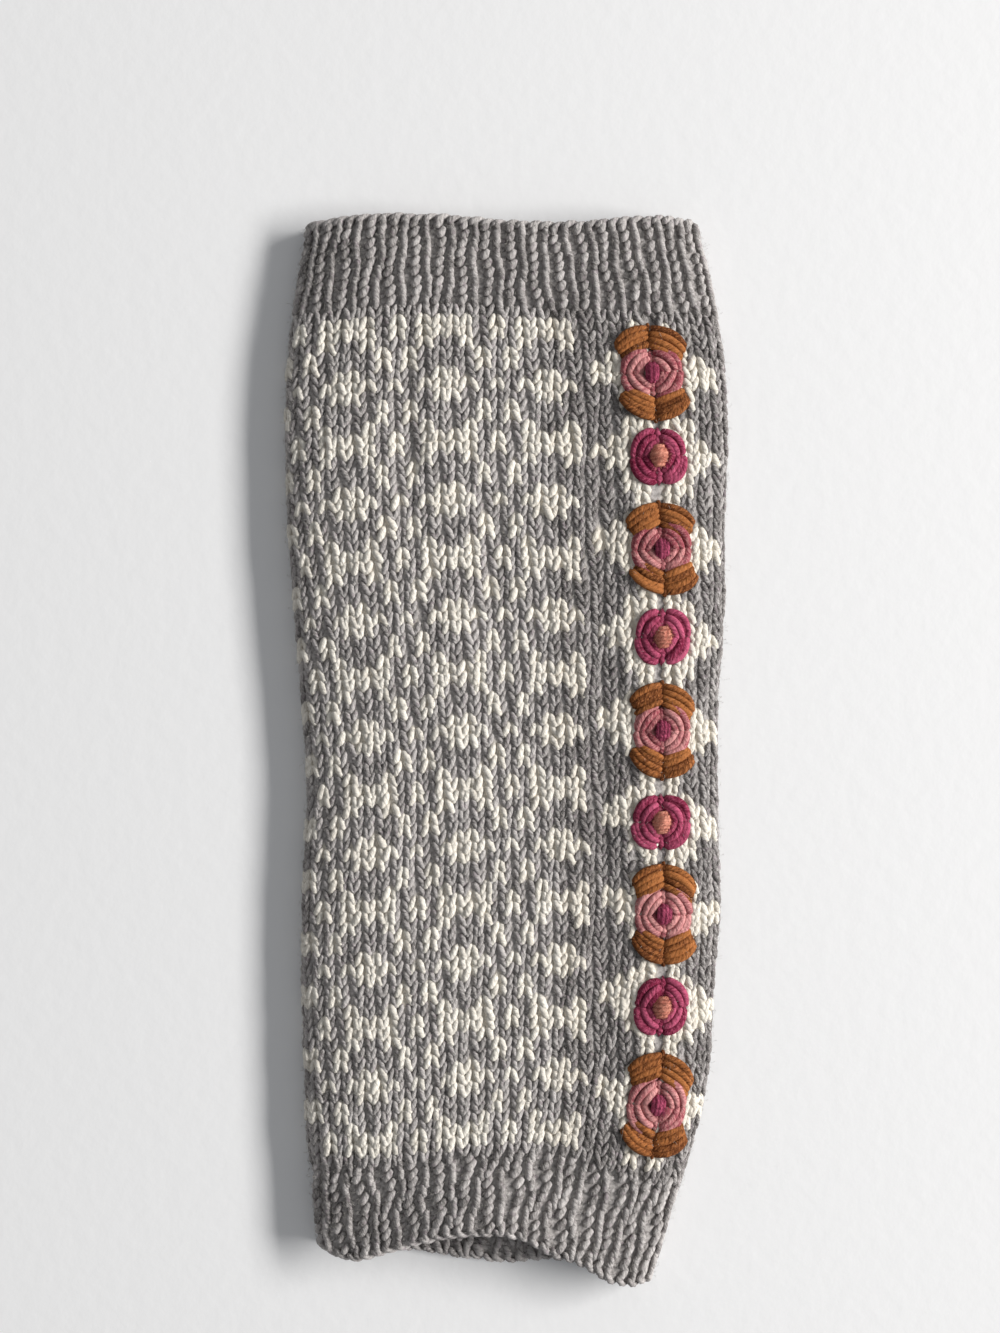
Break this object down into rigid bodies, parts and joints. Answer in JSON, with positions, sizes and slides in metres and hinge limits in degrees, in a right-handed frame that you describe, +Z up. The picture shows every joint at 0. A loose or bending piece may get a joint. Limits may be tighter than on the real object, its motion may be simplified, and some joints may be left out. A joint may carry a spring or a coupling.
{
  "type": "leg warmer",
  "caption": "Hand-knitted wool leg warmer lying flat: ribbed cuffs, grey and cream ring-and-dot colourwork, and a column of embroidered roses.",
  "frame": {"origin": "middle of the bounding box on the surface that the leg warmer lies on", "axes": "+Y along the leg warmer towards its wide top cuff, +X across it towards the embroidered side, +Z up from the surface it lies on"},
  "size_m": [0.149, 0.3556, 0.0199],
  "materials": {
    "grey_rib": "heather grey wool yarn, knit-one purl-one rib",
    "colourwork": "heather grey and cream wool yarn, stranded stocking stitch",
    "pink_petals": "dusty pink wool yarn, embroidered",
    "magenta_knots": "magenta wool yarn, embroidered",
    "magenta_petals": "magenta wool yarn, embroidered",
    "salmon_knots": "salmon wool yarn, embroidered",
    "rust_leaves": "rust wool yarn, embroidered"
  },
  "bodies": {
    "root": {"cuff_top": "grey_rib", "leg": "colourwork", "cuff_bottom": "grey_rib", "large_rose_1_petals": "pink_petals", "large_rose_2_petals": "pink_petals", "large_rose_3_petals": "pink_petals", "large_rose_4_petals": "pink_petals", "large_rose_5_petals": "pink_petals", "large_rose_1_knot": "magenta_knots", "large_rose_2_knot": "magenta_knots", "large_rose_3_knot": "magenta_knots", "large_rose_4_knot": "magenta_knots", "large_rose_5_knot": "magenta_knots", "large_rose_1_leaf_upper_left": "rust_leaves", "large_rose_1_leaf_upper_right": "rust_leaves", "large_rose_1_leaf_lower_left": "rust_leaves", "large_rose_1_leaf_lower_right": "rust_leaves", "large_rose_2_leaf_upper_left": "rust_leaves", "large_rose_2_leaf_upper_right": "rust_leaves", "large_rose_2_leaf_lower_left": "rust_leaves", "large_rose_2_leaf_lower_right": "rust_leaves", "large_rose_3_leaf_upper_left": "rust_leaves", "large_rose_3_leaf_upper_right": "rust_leaves", "large_rose_3_leaf_lower_left": "rust_leaves", "large_rose_3_leaf_lower_right": "rust_leaves", "large_rose_4_leaf_upper_left": "rust_leaves", "large_rose_4_leaf_upper_right": "rust_leaves", "large_rose_4_leaf_lower_left": "rust_leaves", "large_rose_4_leaf_lower_right": "rust_leaves", "large_rose_5_leaf_upper_left": "rust_leaves", "large_rose_5_leaf_upper_right": "rust_leaves", "large_rose_5_leaf_lower_left": "rust_leaves", "large_rose_5_leaf_lower_right": "rust_leaves", "small_rose_1_petals": "magenta_petals", "small_rose_2_petals": "magenta_petals", "small_rose_3_petals": "magenta_petals", "small_rose_4_petals": "magenta_petals", "small_rose_1_knot": "salmon_knots", "small_rose_2_knot": "salmon_knots", "small_rose_3_knot": "salmon_knots", "small_rose_4_knot": "salmon_knots"}
  },
  "joints": []
}
